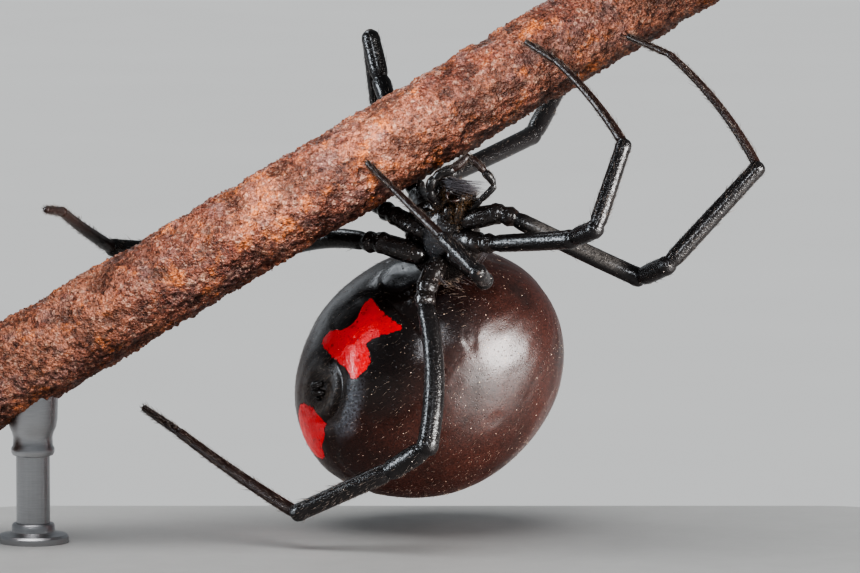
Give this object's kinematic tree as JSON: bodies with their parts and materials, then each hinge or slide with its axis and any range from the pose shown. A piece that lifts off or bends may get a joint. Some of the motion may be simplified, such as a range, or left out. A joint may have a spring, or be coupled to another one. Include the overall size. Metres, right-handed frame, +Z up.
{
  "type": "black widow spider model on a display stand",
  "caption": "Still, life-size female black widow hanging under a cut twig, belly to the viewer, with a red hourglass mark, held over a flat base by a short rod.",
  "frame": {"origin": "centre of the underside of the stand's base, on the surface that it stands on", "axes": "+Z up, +X to the viewer's right and along the longest side, +Y away from the viewer, so the spider's belly faces -Y"},
  "size_m": [0.036, 0.0193, 0.0238],
  "materials": {
    "abdomen_cuticle": "glossy black-brown cuticle with fine pale hairs and a red hourglass",
    "body_cuticle": "dark satin cuticle",
    "leg_cuticle": "glossy black cuticle with short hairs",
    "foot_cuticle": "black-brown satin cuticle with bristles",
    "marking_red": "saturated red, slightly glossy",
    "bark": "rough rust-brown bark",
    "stand_base": "satin pale grey",
    "stand_rod": "brushed"
  },
  "bodies": {
    "root": {"leg_left_1_coxa": "leg_cuticle", "leg_left_1_femur": "leg_cuticle", "leg_left_1_patella": "leg_cuticle", "leg_left_1_tibia": "leg_cuticle", "leg_left_1_tarsus": "foot_cuticle", "leg_left_2_coxa": "leg_cuticle", "leg_left_2_femur": "leg_cuticle", "leg_left_2_patella": "leg_cuticle", "leg_left_2_tibia": "leg_cuticle", "leg_left_2_tarsus": "foot_cuticle", "leg_left_3_coxa": "leg_cuticle", "leg_left_3_femur": "leg_cuticle", "leg_left_3_patella": "leg_cuticle", "leg_left_3_tibia": "leg_cuticle", "leg_left_3_tarsus": "foot_cuticle", "leg_left_4_coxa": "leg_cuticle", "leg_left_4_femur": "leg_cuticle", "leg_left_4_patella": "leg_cuticle", "leg_left_4_tibia": "leg_cuticle", "leg_left_4_tarsus": "foot_cuticle", "leg_right_1_coxa": "leg_cuticle", "leg_right_1_femur": "leg_cuticle", "leg_right_1_patella": "leg_cuticle", "leg_right_1_tibia": "leg_cuticle", "leg_right_1_tarsus": "foot_cuticle", "leg_right_2_coxa": "leg_cuticle", "leg_right_2_femur": "leg_cuticle", "leg_right_2_patella": "leg_cuticle", "leg_right_2_tibia": "leg_cuticle", "leg_right_2_tarsus": "foot_cuticle", "leg_right_3_coxa": "leg_cuticle", "leg_right_3_femur": "leg_cuticle", "leg_right_3_patella": "leg_cuticle", "leg_right_3_tibia": "leg_cuticle", "leg_right_3_tarsus": "foot_cuticle", "leg_right_4_coxa": "leg_cuticle", "leg_right_4_femur": "leg_cuticle", "leg_right_4_patella": "leg_cuticle", "leg_right_4_tibia": "leg_cuticle", "leg_right_4_tarsus": "foot_cuticle", "cephalothorax": "body_cuticle", "chelicera_left": "body_cuticle", "chelicera_right": "body_cuticle", "palp_left": "leg_cuticle", "palp_right": "leg_cuticle", "pedicel": "body_cuticle", "spinnerets": "body_cuticle", "abdomen": "abdomen_cuticle", "perch_twig": "bark", "stand_base": "stand_base", "stand_rod": "stand_rod"}
  },
  "joints": []
}
